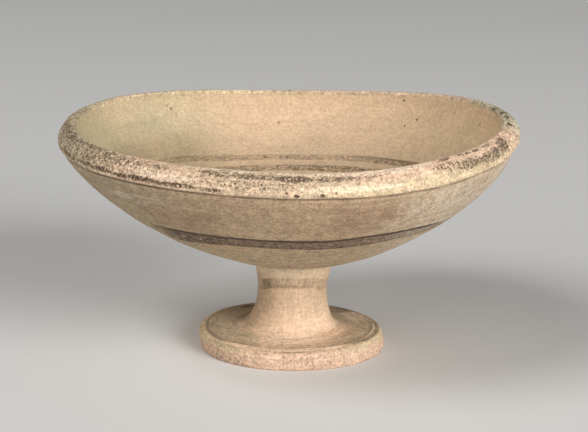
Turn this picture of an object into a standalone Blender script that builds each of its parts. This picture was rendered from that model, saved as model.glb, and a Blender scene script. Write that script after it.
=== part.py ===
"""Pedestal plate: a wide shallow bowl with a heavy lip on a short stem and a disc foot.

It is one piece of wheel-thrown, fired clay, so it is one solid. The turned profile is described first, from
the middle of the bowl out over the lip, down the outside and in under the foot. The fired shape, with its
sagging rim and slight lean, is then given to the turned body. Metres, +Z up, standing on z = 0.
"""

import math

import bpy
import numpy as np
from mathutils import Vector
from mathutils.geometry import interpolate_bezier

NAME = "pedestal_plate"

# Foot: a thick disc with a rounded edge, a scored line and a low ridge on top
FOOT_RADIUS = 0.0481
FOOT_TOP_HEIGHT = 0.0103
FOOT_BASE_INSET = 0.0003
FOOT_BASE_ROUNDING = 0.0006
FOOT_SHOULDER_INSET = 0.0020
FOOT_SHOULDER_DROP = 0.0007
SCORED_LINE_INSET = 0.0033
SCORED_LINE_DEPTH = 0.0008
FOOT_RIDGE_INSET = 0.0050
FOOT_GROOVE_INSET = 0.0069
FOOT_GROOVE_DEPTH = 0.0003
FOOT_GROOVE_WIDTH = 0.0017
FOOT_PLATE_RISE = 0.0007
FOOT_SIDE_ANGLES = (-20.0, -90.0, -100.0)
FOOT_UPPER_PULLS = (0.24, 0.48)
FOOT_LOWER_PULLS = (0.40, 0.27)

# Stem: short, waisted, flaring on to the foot
STEM_HEIGHT = 0.0357
STEM_TOP_RADIUS = 0.0203
STEM_WAIST_RADIUS = 0.0178
STEM_FLARE = 0.0072
WAIST_SHARE = 0.58
STEM_TOP_ANGLES = (-100.0, -90.0)
STEM_TOP_PULLS = (0.37, 0.30)
STEM_FLARE_ANGLES = (-90.0, -20.0)
STEM_FLARE_PULLS = (0.40, 0.18)

# Bowl: a wide shallow wall, flat at first and upright at the lip, even up to a share of its way
BOWL_DEPTH = 0.0612
BOWL_ANGLES = (12.0, 91.0)
BOWL_PULLS = (0.525, 0.050)
WALL = 0.0080
EVEN_WALL_SHARE = 0.55
FLOOR_DISH = 0.0004
FLOOR_RADIUS = 0.0120

# Lip: a heavy band that overhangs the wall and slopes in to a rounded crest
RIM_RADIUS = 0.1200
LIP_HEIGHT = 0.0109
LIP_WIDTH = 0.0102
LIP_OVERHANG = 0.0022
LIP_UNDERSIDE = 0.0016
LIP_CREST_INSET = 0.0088
LIP_INNER_DROP = 0.0022
LIP_INNER_ANGLE = 85.0
LIP_INNER_PULLS = (0.33, 0.33)

# Hollow under the foot, which leaves a flat ring to stand on
RESTING_RING = 0.0100
RESTING_RING_ROUNDING = 0.0037
HOLLOW_LIFT = 0.0033
HOLLOW_NECK_RADIUS = 0.0083
CLAY_OVER_HOLLOW = 0.0190
HOLLOW_ANGLES = (165.0, 95.0, 180.0)
HOLLOW_BELL_PULLS = (0.52, 0.24)
HOLLOW_DOME_PULLS = (0.67, 0.26)

# Fired shape: (waves round the rim, height at the rim, direction of a crest in degrees)
RIM_WAVES = ((1, 0.00135, 0.0), (2, 0.00310, 3.0), (3, 0.00128, 51.0), (4, 0.00027, -127.0))
FOOT_WAVES = ((1, 0.00042, 130.0), (2, 0.00054, -55.0))
SAG_START_RADIUS = 0.0150
SAG_POWER = 2.6
RIM_OVAL = 0.020

# Lean: how far each level stands to +X of the rim's centre
LEAN_AT_BASE = 0.0024
LEAN_AT_FOOT_TOP = 0.0014
LEAN_AT_STEM_TOP = 0.0029

# Fineness of the solid
STEPS_ROUND = 64
WALL_STEPS = 11
SMOOTH_ANGLE = 40.0

# Levels that follow from the sizes above
WAIST_LEVEL = FOOT_TOP_HEIGHT + WAIST_SHARE * STEM_HEIGHT
STEM_TOP = FOOT_TOP_HEIGHT + STEM_HEIGHT
NOTCH_LEVEL = STEM_TOP + BOWL_DEPTH
RIM_LEVEL = NOTCH_LEVEL + LIP_UNDERSIDE
CREST_LEVEL = NOTCH_LEVEL + LIP_HEIGHT


def heading(angle):
    """Unit step in the (radius, height) plane; 0 degrees is outwards and 90 is up."""
    return Vector((math.cos(math.radians(angle)), math.sin(math.radians(angle))))


def curve(start, end, angles, pulls, steps):
    """Points of a smooth curve between two (radius, height) points, both ends included.

    The angles are its direction of travel at each end, and the pulls say how far it holds to them, as shares
    of the straight way.
    """
    start, end = Vector(start), Vector(end)
    chord = (end - start).length
    first = start + heading(angles[0]) * pulls[0] * chord
    second = end - heading(angles[1]) * pulls[1] * chord
    return interpolate_bezier(start, first, second, end, steps + 1)


def quarter(centre, radial, vertical, angles, steps):
    """Points of an elliptical arc round a (radius, height) centre, both ends included."""
    turns = [math.radians(angles[0] + (angles[1] - angles[0]) * i / steps) for i in range(steps + 1)]
    return [Vector((centre[0] + radial * math.cos(a), centre[1] + vertical * math.sin(a))) for a in turns]


def outer_wall():
    """The outside of the bowl, from the top of the stem up to the notch under the lip."""
    notch = (RIM_RADIUS - LIP_OVERHANG, NOTCH_LEVEL)
    return curve((STEM_TOP_RADIUS, STEM_TOP), notch, BOWL_ANGLES, BOWL_PULLS, WALL_STEPS)


def inner_wall(outside):
    """The inside of the bowl: a dished floor, an even wall, and a curve that thickens the wall up to the lip."""
    even_steps = round(WALL_STEPS * EVEN_WALL_SHARE)
    inside = []
    for i in range(1, even_steps + 1):
        along = (outside[i + 1] - outside[i - 1]).normalized()
        inside.append(outside[i] + Vector((-along.y, along.x)) * WALL)
    angles = (math.degrees(math.atan2(along.y, along.x)), LIP_INNER_ANGLE)
    lip_edge = (RIM_RADIUS - LIP_WIDTH, CREST_LEVEL - LIP_INNER_DROP)
    upper = curve(inside[-1], lip_edge, angles, LIP_INNER_PULLS, WALL_STEPS - even_steps)
    floor_level = inside[0].y - FLOOR_DISH
    return [Vector((0.0, floor_level)), Vector((FLOOR_RADIUS, floor_level))] + inside + upper[1:-1]


def lip():
    """The lip, from its inner edge over the crest and down round its overhanging lower edge."""
    crest_radius = RIM_RADIUS - LIP_CREST_INSET
    inner_centre = (crest_radius, CREST_LEVEL - LIP_INNER_DROP)
    inner_side = quarter(inner_centre, LIP_WIDTH - LIP_CREST_INSET, LIP_INNER_DROP, (180.0, 90.0), 3)
    outer_side = quarter((crest_radius, RIM_LEVEL), LIP_CREST_INSET, CREST_LEVEL - RIM_LEVEL, (90.0, 0.0), 7)
    lower_centre = (RIM_RADIUS - LIP_OVERHANG, RIM_LEVEL)
    lower_edge = quarter(lower_centre, LIP_OVERHANG, LIP_UNDERSIDE, (0.0, -90.0), 3)
    return inner_side + outer_side[1:] + lower_edge[1:-1]


def stem():
    """The outside of the stem, from just under the bowl down over the waist to the foot of the flare."""
    waist = (STEM_WAIST_RADIUS, WAIST_LEVEL)
    flare = (STEM_WAIST_RADIUS + STEM_FLARE, FOOT_TOP_HEIGHT + FOOT_PLATE_RISE)
    upper = curve((STEM_TOP_RADIUS, STEM_TOP), waist, STEM_TOP_ANGLES, STEM_TOP_PULLS, 4)
    lower = curve(waist, flare, STEM_FLARE_ANGLES, STEM_FLARE_PULLS, 7)
    return upper[1:] + lower[1:]


def foot_top():
    """The top of the foot: a flat plate, a shallow groove, a low ridge and a scored line."""
    marks = (
        (FOOT_GROOVE_INSET + FOOT_GROOVE_WIDTH, 0.0),
        (FOOT_GROOVE_INSET, FOOT_GROOVE_DEPTH),
        (FOOT_RIDGE_INSET, 0.0),
        (SCORED_LINE_INSET, SCORED_LINE_DEPTH),
    )
    return [Vector((FOOT_RADIUS - inset, FOOT_TOP_HEIGHT - depth)) for inset, depth in marks]


def foot_side():
    """The rounded side of the foot, widest halfway up, down to the outer edge of the resting ring."""
    shoulder = (FOOT_RADIUS - FOOT_SHOULDER_INSET, FOOT_TOP_HEIGHT - FOOT_SHOULDER_DROP)
    widest = (FOOT_RADIUS, shoulder[1] / 2)
    base = (FOOT_RADIUS - FOOT_BASE_INSET, FOOT_BASE_ROUNDING)
    upper = curve(shoulder, widest, FOOT_SIDE_ANGLES[:2], FOOT_UPPER_PULLS, 3)
    lower = curve(widest, base, FOOT_SIDE_ANGLES[1:], FOOT_LOWER_PULLS, 2)
    return upper + lower[1:] + [Vector((base[0] - FOOT_BASE_ROUNDING, 0.0))]


def foot_hollow():
    """The trumpet-shaped hollow under the foot, from the inner resting line up to its domed top."""
    mouth_radius = FOOT_RADIUS - FOOT_BASE_INSET - FOOT_BASE_ROUNDING - RESTING_RING
    plate_edge = (mouth_radius - RESTING_RING_ROUNDING, HOLLOW_LIFT)
    top_level = STEM_TOP + WALL - CLAY_OVER_HOLLOW
    neck = (HOLLOW_NECK_RADIUS, (HOLLOW_LIFT + top_level) / 2)
    bell = curve(plate_edge, neck, HOLLOW_ANGLES[:2], HOLLOW_BELL_PULLS, 5)
    dome = curve(neck, (0.0, top_level), HOLLOW_ANGLES[1:], HOLLOW_DOME_PULLS, 4)
    return [Vector((mouth_radius, 0.0))] + bell + dome[1:]


def profile():
    """The whole turned profile, as (radius, height) points in the order that turns the faces outwards."""
    outside = outer_wall()
    foot = foot_top() + foot_side() + foot_hollow()
    return inner_wall(outside) + lip() + outside[::-1] + stem() + foot


def turned_mesh(points):
    """The profile turned once round the vertical axis."""
    line = bpy.data.meshes.new("profile")
    line.from_pydata([(p.x, 0.0, p.y) for p in points], [(i, i + 1) for i in range(len(points) - 1)], [])
    blank = bpy.data.objects.new("profile", line)
    bpy.context.scene.collection.objects.link(blank)
    screw = blank.modifiers.new("turn", "SCREW")
    screw.axis = "Z"
    screw.angle = math.tau
    screw.steps = STEPS_ROUND
    screw.render_steps = STEPS_ROUND
    screw.use_merge_vertices = True
    screw.merge_threshold = 0.00001
    evaluated = blank.evaluated_get(bpy.context.evaluated_depsgraph_get())
    mesh = bpy.data.meshes.new_from_object(evaluated)
    bpy.data.objects.remove(blank)
    bpy.data.meshes.remove(line)
    return mesh


def wave_height(waves, angle):
    """Sum of the waves at an angle round the axis."""
    return sum(height * math.cos(count * angle - math.radians(crest)) for count, height, crest in waves)


def lean(height):
    """Sideways place of the centre line at a height; above the rim it runs on in the same line."""
    if height > STEM_TOP:
        return LEAN_AT_STEM_TOP * (RIM_LEVEL - height) / (RIM_LEVEL - STEM_TOP)
    levels = (0.0, FOOT_TOP_HEIGHT, STEM_TOP)
    return float(np.interp(height, levels, (LEAN_AT_BASE, LEAN_AT_FOOT_TOP, LEAN_AT_STEM_TOP)))


def fired(point):
    """Where a point of the true turned shape ended up in the fired vessel. The resting ring stays flat."""
    angle = math.atan2(point.y, point.x)
    radius = math.hypot(point.x, point.y)
    height = point.z
    if height > STEM_TOP:
        share = (radius - SAG_START_RADIUS) / (RIM_RADIUS - SAG_START_RADIUS)
        sag = min(max(share, 0.0), 1.0) ** SAG_POWER
        lift = sag * wave_height(RIM_WAVES, angle)
        oval = RIM_OVAL * sag
    else:
        share = float(np.interp(height, (0.0, FOOT_TOP_HEIGHT, WAIST_LEVEL), (0.0, 1.0, 0.0)))
        lift = share * wave_height(FOOT_WAVES, angle)
        oval = 0.0
    return Vector((point.x * (1.0 - oval) + lean(height), point.y * (1.0 + oval), height + lift))


def fired_clay():
    """Pale, slightly pink fired clay under a thin cream slip."""
    material = bpy.data.materials.new("fired clay")
    material.use_nodes = True
    shader = material.node_tree.nodes["Principled BSDF"]
    shader.inputs["Base Color"].default_value = (0.58, 0.46, 0.33, 1.0)
    shader.inputs["Roughness"].default_value = 0.85
    shader.inputs["Metallic"].default_value = 0.0
    return material


def pedestal_plate():
    """The vessel as one object."""
    mesh = turned_mesh(profile())
    mesh.name = NAME
    for vertex in mesh.vertices:
        vertex.co = fired(vertex.co)
    mesh.shade_smooth()
    mesh.set_sharp_from_angle(angle=math.radians(SMOOTH_ANGLE))
    mesh.materials.append(fired_clay())
    return bpy.data.objects.new(NAME, mesh)


def main():
    for old in list(bpy.data.objects):
        bpy.data.objects.remove(old)
    collection = bpy.data.collections.new("pedestal plate")
    bpy.context.scene.collection.children.link(collection)
    collection.objects.link(pedestal_plate())


main()
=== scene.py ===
"""The pedestal plate as it looks: worn, cream-slipped clay with faint painted bands and a crumbling lip.

The vessel is turned again from the same profile as the solid, in much finer steps, so that its mesh can carry
the marks of the wheel, the crumbly lip, the pits and the chips. Lengths here are millimetres and angles are
degrees, until the finished mesh goes to metres. Bearings are measured round the vessel from the front, with
plus to the right, and "along" is the way along the turned profile from the middle of the bowl, out over the
lip, down the outside and in under the foot.
"""

import math
import random

import bmesh
import bpy
import numpy as np
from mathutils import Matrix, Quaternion, Vector, noise
from mathutils.geometry import interpolate_bezier


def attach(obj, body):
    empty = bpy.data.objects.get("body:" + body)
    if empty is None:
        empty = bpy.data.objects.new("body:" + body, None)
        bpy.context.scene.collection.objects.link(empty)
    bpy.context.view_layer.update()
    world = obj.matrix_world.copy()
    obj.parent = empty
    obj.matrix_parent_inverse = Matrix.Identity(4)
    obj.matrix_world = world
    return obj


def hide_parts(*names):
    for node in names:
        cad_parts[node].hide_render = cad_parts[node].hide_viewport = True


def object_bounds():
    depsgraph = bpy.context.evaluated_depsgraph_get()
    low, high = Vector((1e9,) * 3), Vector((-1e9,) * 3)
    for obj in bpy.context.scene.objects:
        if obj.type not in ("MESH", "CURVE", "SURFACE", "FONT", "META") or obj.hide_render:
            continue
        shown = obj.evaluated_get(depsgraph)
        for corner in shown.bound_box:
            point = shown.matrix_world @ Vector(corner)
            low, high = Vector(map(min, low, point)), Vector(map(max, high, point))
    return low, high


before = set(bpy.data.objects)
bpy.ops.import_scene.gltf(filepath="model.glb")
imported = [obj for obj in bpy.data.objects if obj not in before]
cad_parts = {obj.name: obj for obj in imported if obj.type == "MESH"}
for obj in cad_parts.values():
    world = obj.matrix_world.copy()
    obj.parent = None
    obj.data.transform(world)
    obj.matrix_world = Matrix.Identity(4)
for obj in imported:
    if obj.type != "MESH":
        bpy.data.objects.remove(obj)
CAD_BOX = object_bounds()

NODE = "pedestal_plate"
MM = 0.001
SPUN_SEAM = 0.0001
SAME_POINT = 0.001
SHORTEST_EDGE = 0.005

# Seeds, so that the crumbs and the nicks are the same on each run
NOISE_SEED = 7
NICK_SEED = 7

# Foot: a thick disc with a rounded edge, a scored line and a low ridge on top
FOOT_RADIUS = 48.1
FOOT_TOP_HEIGHT = 10.3
FOOT_BASE_INSET = 0.3
FOOT_BASE_ROUNDING = 0.6
FOOT_SHOULDER_INSET = 2.0
FOOT_SHOULDER_DROP = 0.7
SCORED_LINE_INSET = 3.3
SCORED_LINE_DEPTH = 0.8
FOOT_RIDGE_INSET = 5.0
FOOT_GROOVE_INSET = 6.9
FOOT_GROOVE_DEPTH = 0.3
FOOT_GROOVE_WIDTH = 1.7
FOOT_PLATE_RISE = 0.7
FOOT_SIDE_ANGLES = (-20.0, -90.0, -100.0)
FOOT_UPPER_PULLS = (0.24, 0.48)
FOOT_LOWER_PULLS = (0.40, 0.27)

# Stem: short, waisted, flaring on to the foot
STEM_HEIGHT = 35.7
STEM_TOP_RADIUS = 20.3
STEM_WAIST_RADIUS = 17.8
STEM_FLARE = 7.2
WAIST_SHARE = 0.58
STEM_TOP_ANGLES = (-100.0, -90.0)
STEM_TOP_PULLS = (0.37, 0.30)
STEM_FLARE_ANGLES = (-90.0, -20.0)
STEM_FLARE_PULLS = (0.40, 0.18)

# Bowl: a wide shallow wall, flat at first and upright at the lip, even up to a share of its way
BOWL_DEPTH = 61.2
BOWL_ANGLES = (12.0, 91.0)
BOWL_PULLS = (0.525, 0.050)
WALL = 8.0
EVEN_WALL_SHARE = 0.55
FLOOR_DISH = 0.4
FLOOR_RADIUS = 12.0

# Lip: a heavy band that overhangs the wall and slopes in to a rounded crest
RIM_RADIUS = 120.0
LIP_HEIGHT = 10.9
LIP_WIDTH = 10.2
LIP_OVERHANG = 2.2
LIP_UNDERSIDE = 1.6
LIP_CREST_INSET = 8.8
LIP_INNER_DROP = 2.2
LIP_INNER_ANGLE = 85.0
LIP_INNER_PULLS = (0.33, 0.33)

# Hollow under the foot, which leaves a flat ring to stand on
RESTING_RING = 10.0
RESTING_RING_ROUNDING = 3.7
HOLLOW_LIFT = 3.3
HOLLOW_NECK_RADIUS = 8.3
CLAY_OVER_HOLLOW = 19.0
HOLLOW_ANGLES = (165.0, 95.0, 180.0)
HOLLOW_BELL_PULLS = (0.52, 0.24)
HOLLOW_DOME_PULLS = (0.67, 0.26)

# Fired shape: (waves round the rim, height at the rim, direction of a crest, turned from +X)
RIM_WAVES = ((1, 1.35, 0.0), (2, 3.10, 3.0), (3, 1.28, 51.0), (4, 0.27, -127.0))
FOOT_WAVES = ((1, 0.42, 130.0), (2, 0.54, -55.0))
SAG_START_RADIUS = 15.0
SAG_POWER = 2.6
RIM_OVAL = 0.020
LEAN_AT_BASE = 2.4
LEAN_AT_FOOT_TOP = 1.4
LEAN_AT_STEM_TOP = 2.9

# Levels that follow from the sizes above
WAIST_LEVEL = FOOT_TOP_HEIGHT + WAIST_SHARE * STEM_HEIGHT
STEM_TOP = FOOT_TOP_HEIGHT + STEM_HEIGHT
NOTCH_LEVEL = STEM_TOP + BOWL_DEPTH
RIM_LEVEL = NOTCH_LEVEL + LIP_UNDERSIDE
CREST_LEVEL = NOTCH_LEVEL + LIP_HEIGHT

# Fineness of the mesh
STEPS_ROUND = 256
LIP_CUTS = 4
WALL_STEPS = 40
FLOOR_STEPS = 4
LIP_STEPS = (5, 26, 5)
STEM_STEPS = (9, 17)
FOOT_TOP_STEP = 0.9
FOOT_SIDE_STEPS = (6, 7)
HOLLOW_STEPS = (8, 6)

# Pits and chips by the stretch they lie in: (bearing, way along the stretch, radius, depth)
PITS = {
    "bowl": (
        (-176.2, 115.6, 1, 0.4),
        (-141.1, 127.5, 0.9, 0.35),
        (-142.2, 125.6, 1.1, 0.4),
        (-143.6, 123.1, 0.7, 0.25),
        (144.3, 130.2, 1, 0.4),
        (142.5, 126.6, 0.7, 0.25),
        (141.9, 115.8, 1, 0.45),
        (138.2, 120.1, 1, 0.45),
        (155.3, 125.8, 0.6, 0.2),
        (123.9, 126, 0.9, 0.4),
        (108.7, 124, 1.1, 0.45),
        (-113.2, 108.9, 0.95, 0.4),
        (-170.1, 90.7, 1.1, 0.45),
        (-175.8, 90.6, 0.9, 0.4),
        (-178.5, 90.6, 1.1, 0.45),
    ),
    "lip": (
        (1.9, 17, 1.55, 0.9),
        (7.7, 16.8, 1.5, 0.9),
        (10.9, 15.4, 0.95, 0.5),
        (-0.3, 15.4, 0.95, 0.5),
        (-1.6, 17.1, 0.75, 0.35),
        (-5.9, 11.9, 0.85, 0.45),
        (-5.3, 13.4, 1.05, 0.5),
        (101.7, 2.4, 1.9, 0.45),
        (94.4, 2.9, 1.7, 0.45),
        (90.5, 3.8, 1.1, 0.3),
        (82, 5.4, 1.7, 0.45),
        (86, 3.2, 0.9, 0.3),
    ),
    "wall": (
        (5.1, 3.2, 0.85, 0.35),
        (4.2, 4.4, 0.7, 0.25),
        (-9, 8.5, 0.8, 0.25),
        (-23.5, 5.5, 0.75, 0.25),
        (11, 6.5, 0.65, 0.2),
        (16.5, 4, 0.6, 0.2),
    ),
    "stem": (
        (15.3, 26, 0.75, 0.3),
        (12.3, 23.8, 0.65, 0.25),
    ),
    "plate": (
        (12.4, 31, 0.9, 0.35),
        (-16.1, 27.2, 0.75, 0.25),
        (-13.1, 27.6, 0.75, 0.25),
        (12.1, 27.5, 0.75, 0.25),
    ),
}
PIT_REACH = 1.5
PIT_EDGES = (1.5, 0.75, 0.38)
NICKS = 60
NICK_RADII = (0.7, 2.0)
NICK_DEPTHS = (0.08, 0.28)

# Relief of the clay: (size, height) of its lumps, and the measures of the rest
LUMPS = ((34.0, 0.30), (13.0, 0.14), (2.4, 0.05))
LIP_WEAR = 0.34
CRUMB_HEIGHT = 0.38
CRUMB_BEND = 0.35
CRUMB_BEND_SIZE = 0.7
CRUMB_GAP = (0.02, 0.34)
NOTCH_CUT = 0.30
SWELLING_HEIGHT = 0.9
FILLET_HEIGHT = 0.35

# Crumbly skin, dark paint, and pale crust with painted highlights on the lip: (bearing, way from the lip's
# inner edge, half turn, half width, strength), and a slope in mm a degree where there is one
LIP_SKIN = (
    (-62, 9.5, 46, 7.4, 1),
    (-8, 9, 36, 6.4, 1),
    (52, 11.2, 21, 4.2, 1, 0.1),
    (25, 8, 16, 3.6, 0.75),
    (86, 9, 18, 7, 0.8),
    (128, 9, 30, 6.5, 1),
    (178, 9.5, 30, 6, 0.9),
    (-138, 9.5, 34, 7, 1),
)
LIP_PAINT = (
    (-36, 15.4, 5.2, 1.7, 1),
    (-26, 15.8, 6.4, 1.5, 0.92),
    (-17.5, 16.1, 4, 1.1, 0.66),
    (-30, 15.8, 3.5, 1.1, 0.9),
    (-42, 15.7, 3.4, 1.3, 0.95),
    (-48.5, 15.2, 4, 1.4, 0.9, 0.06),
    (-56, 15, 5, 1.2, 0.8, 0.05),
    (-66, 15.6, 7, 1.3, 0.7, 0.05),
    (-80, 15.6, 9, 1.3, 0.6),
    (-83, 6.8, 7, 3, 0.55),
    (-72, 6.4, 7, 2.3, 0.6, -0.12),
    (-64, 5.2, 6, 2, 0.6, -0.1),
    (-56, 5.6, 5, 2, 0.55, 0.1),
    (-48.5, 7, 5, 2.5, 0.56, 0.18),
    (-39.5, 8, 4, 2.2, 0.54),
    (-32, 7.8, 3.6, 1.5, 0.6),
    (-59, 10.8, 14, 3.4, 0.36),
    (-9, 8, 13, 1.9, 0.76),
    (1.5, 8.2, 5, 2.5, 0.88),
    (-17.5, 7.2, 5, 1.2, 0.76, 0.02),
    (11, 8.4, 5.5, 1.9, 0.74),
    (20, 7.8, 6, 1.4, 0.5, -0.15),
    (28.5, 5.6, 5, 1.4, 0.4, -0.2),
    (-9, 12.4, 13, 2.7, 0.46),
    (41, 9.6, 4.5, 3, 0.62, 0.14),
    (48, 11, 8, 3.3, 0.72, 0.14),
    (59, 12, 8.5, 3.5, 0.8, 0.06),
    (65.5, 9.6, 3.2, 4.6, 0.8),
    (41.7, 4.4, 2, 1.8, 0.84),
    (47.6, 4.8, 1.4, 1.6, 0.84),
    (50.4, 5, 1.2, 1.6, 0.84),
    (53.5, 5.4, 1.5, 1.6, 0.84),
    (59, 5.6, 2.6, 1.6, 0.8, 0.1),
    (101.7, 3, 1.7, 3, 1),
    (94.4, 4, 1.9, 2.6, 0.95),
    (89.5, 5, 2.2, 1.8, 0.84),
    (82, 6.2, 1.7, 2, 1),
    (93, 6.5, 10, 5, 0.42),
    (120, 11, 22, 3, 0.62),
    (152, 14.5, 12, 1.6, 0.76),
    (178, 12, 14, 2.4, 0.6, 0.03),
    (-152, 9, 12, 2.6, 0.62),
    (-122, 13.6, 14, 2, 0.74, 0.04),
)
# Pale crust on the lip, which also carries painted highlights along its top edge
LIP_PALE_CRUST_AND_HIGHLIGHTS = (
    (-15, 3.6, 14, 1.6, 0.8),
    (6, 4.4, 12, 1.7, 0.85),
    (24, 5, 14, 2.6, 0.7),
    (-30, 12.4, 12, 2.2, 0.6),
    (14, 13.5, 14, 2, 0.7),
)


def heading(angle):
    """Unit step in the (radius, height) plane; 0 degrees is outwards and 90 is up."""
    return Vector((math.cos(math.radians(angle)), math.sin(math.radians(angle))))


def curve(start, end, angles, pulls, steps):
    """Points of a smooth curve between two (radius, height) points, both ends included.

    The angles are its direction of travel at each end, and the pulls say how far it holds to them, as shares
    of the straight way.
    """
    start, end = Vector(start), Vector(end)
    chord = (end - start).length
    first = start + heading(angles[0]) * pulls[0] * chord
    second = end - heading(angles[1]) * pulls[1] * chord
    return interpolate_bezier(start, first, second, end, steps + 1)


def quarter(centre, radial, vertical, angles, steps):
    """Points of an elliptical arc round a (radius, height) centre, both ends included."""
    turns = [math.radians(angles[0] + (angles[1] - angles[0]) * i / steps) for i in range(steps + 1)]
    return [Vector((centre[0] + radial * math.cos(a), centre[1] + vertical * math.sin(a))) for a in turns]


def straight(points, longest):
    """The points of a broken line, with its long stretches cut into steps of at most the given length."""
    line = [points[0]]
    for start, end in zip(points, points[1:]):
        count = max(1, math.ceil((end - start).length / longest))
        line += [start.lerp(end, i / count) for i in range(1, count + 1)]
    return line


def outer_wall():
    """The outside of the bowl, from the top of the stem up to the notch under the lip."""
    notch = (RIM_RADIUS - LIP_OVERHANG, NOTCH_LEVEL)
    return curve((STEM_TOP_RADIUS, STEM_TOP), notch, BOWL_ANGLES, BOWL_PULLS, WALL_STEPS)


def inner_wall(outside):
    """The inside of the bowl: a dished floor, an even wall, and a curve that thickens it up to the lip."""
    even_steps = round(WALL_STEPS * EVEN_WALL_SHARE)
    inside = []
    for i in range(FLOOR_STEPS, even_steps + 1):
        along = (outside[i + 1] - outside[i - 1]).normalized()
        inside.append(outside[i] + Vector((-along.y, along.x)) * WALL)
    angles = (math.degrees(math.atan2(along.y, along.x)), LIP_INNER_ANGLE)
    lip_edge = (RIM_RADIUS - LIP_WIDTH, CREST_LEVEL - LIP_INNER_DROP)
    upper = curve(inside[-1], lip_edge, angles, LIP_INNER_PULLS, WALL_STEPS - even_steps)
    floor_level = inside[0].y - FLOOR_DISH
    floor = [Vector((FLOOR_RADIUS * i / FLOOR_STEPS, floor_level)) for i in range(FLOOR_STEPS + 1)]
    return floor + inside + upper[1:]


def lip():
    """The lip, from its inner edge over the crest and down round its overhanging lower edge."""
    crest_radius = RIM_RADIUS - LIP_CREST_INSET
    inner_centre = (crest_radius, CREST_LEVEL - LIP_INNER_DROP)
    inner_size = (LIP_WIDTH - LIP_CREST_INSET, LIP_INNER_DROP)
    outer_size = (LIP_CREST_INSET, CREST_LEVEL - RIM_LEVEL)
    lower_centre = (RIM_RADIUS - LIP_OVERHANG, RIM_LEVEL)
    lower_size = (LIP_OVERHANG, LIP_UNDERSIDE)
    inner_side = quarter(inner_centre, *inner_size, (180.0, 90.0), LIP_STEPS[0])
    outer_side = quarter((crest_radius, RIM_LEVEL), *outer_size, (90.0, 0.0), LIP_STEPS[1])
    lower_edge = quarter(lower_centre, *lower_size, (0.0, -90.0), LIP_STEPS[2])
    return inner_side + outer_side[1:] + lower_edge[1:]


def stem():
    """The outside of the stem, from just under the bowl down over the waist to the foot of the flare."""
    waist = (STEM_WAIST_RADIUS, WAIST_LEVEL)
    flare = (STEM_WAIST_RADIUS + STEM_FLARE, FOOT_TOP_HEIGHT + FOOT_PLATE_RISE)
    upper = curve((STEM_TOP_RADIUS, STEM_TOP), waist, STEM_TOP_ANGLES, STEM_TOP_PULLS, STEM_STEPS[0])
    lower = curve(waist, flare, STEM_FLARE_ANGLES, STEM_FLARE_PULLS, STEM_STEPS[1])
    return upper + lower[1:]


def foot_top(flare):
    """The top of the foot: a flat plate, a shallow groove, a low ridge and a scored line."""
    marks = (
        (FOOT_GROOVE_INSET + FOOT_GROOVE_WIDTH, 0.0),
        (FOOT_GROOVE_INSET, FOOT_GROOVE_DEPTH),
        (FOOT_RIDGE_INSET, 0.0),
        (SCORED_LINE_INSET, SCORED_LINE_DEPTH),
    )
    line = [Vector((FOOT_RADIUS - inset, FOOT_TOP_HEIGHT - depth)) for inset, depth in marks]
    return straight([flare] + line, FOOT_TOP_STEP)


def foot_side():
    """The rounded side of the foot, widest halfway up, down to the outer edge of the resting ring."""
    shoulder = (FOOT_RADIUS - FOOT_SHOULDER_INSET, FOOT_TOP_HEIGHT - FOOT_SHOULDER_DROP)
    widest = (FOOT_RADIUS, shoulder[1] / 2)
    base = (FOOT_RADIUS - FOOT_BASE_INSET, FOOT_BASE_ROUNDING)
    upper = curve(shoulder, widest, FOOT_SIDE_ANGLES[:2], FOOT_UPPER_PULLS, FOOT_SIDE_STEPS[0])
    lower = curve(widest, base, FOOT_SIDE_ANGLES[1:], FOOT_LOWER_PULLS, FOOT_SIDE_STEPS[1])
    return upper + lower[1:] + [Vector((base[0] - FOOT_BASE_ROUNDING, 0.0))]


def foot_hollow():
    """The trumpet-shaped hollow under the foot, from the inner resting line up to its domed top."""
    mouth_radius = FOOT_RADIUS - FOOT_BASE_INSET - FOOT_BASE_ROUNDING - RESTING_RING
    plate_edge = (mouth_radius - RESTING_RING_ROUNDING, HOLLOW_LIFT)
    top_level = STEM_TOP + WALL - CLAY_OVER_HOLLOW
    neck = (HOLLOW_NECK_RADIUS, (HOLLOW_LIFT + top_level) / 2)
    bell = curve(plate_edge, neck, HOLLOW_ANGLES[:2], HOLLOW_BELL_PULLS, HOLLOW_STEPS[0])
    dome = curve(neck, (0.0, top_level), HOLLOW_ANGLES[1:], HOLLOW_DOME_PULLS, HOLLOW_STEPS[1])
    return [Vector((mouth_radius, 0.0))] + bell + dome[1:]


def stretches():
    """The turned profile in named stretches, in the order that runs from the bowl to the hollow."""
    wall = outer_wall()
    stem_side = stem()
    return {
        "bowl": inner_wall(wall),
        "lip": lip(),
        "wall": wall[::-1],
        "stem": stem_side,
        "plate": foot_top(stem_side[-1]),
        "edge": foot_side(),
        "hollow": foot_hollow(),
    }


def measured(parts):
    """The whole profile, the distance of each point along it, and where each stretch starts."""
    points, distances, starts = [parts["bowl"][0]], [0.0], {}
    for name, stretch in parts.items():
        for point in stretch:
            step = (point - points[-1]).length
            if step > SAME_POINT:
                distances.append(distances[-1] + step)
                points.append(point)
            starts.setdefault(name, distances[-1])
    return points, distances, starts


PROFILE, ALONG, START = measured(stretches())


def on_profile(along):
    """The (radius, height) point of the turned profile at a distance along it."""
    radius = np.interp(along, ALONG, [point.x for point in PROFILE])
    height = np.interp(along, ALONG, [point.y for point in PROFILE])
    return float(radius), float(height)


def turned_place(bearing, along):
    """The place in the turned vessel at a bearing and a distance along the profile."""
    radius, height = on_profile(along)
    angle = math.radians(bearing)
    return Vector((radius * math.sin(angle), -radius * math.cos(angle), height))


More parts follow.
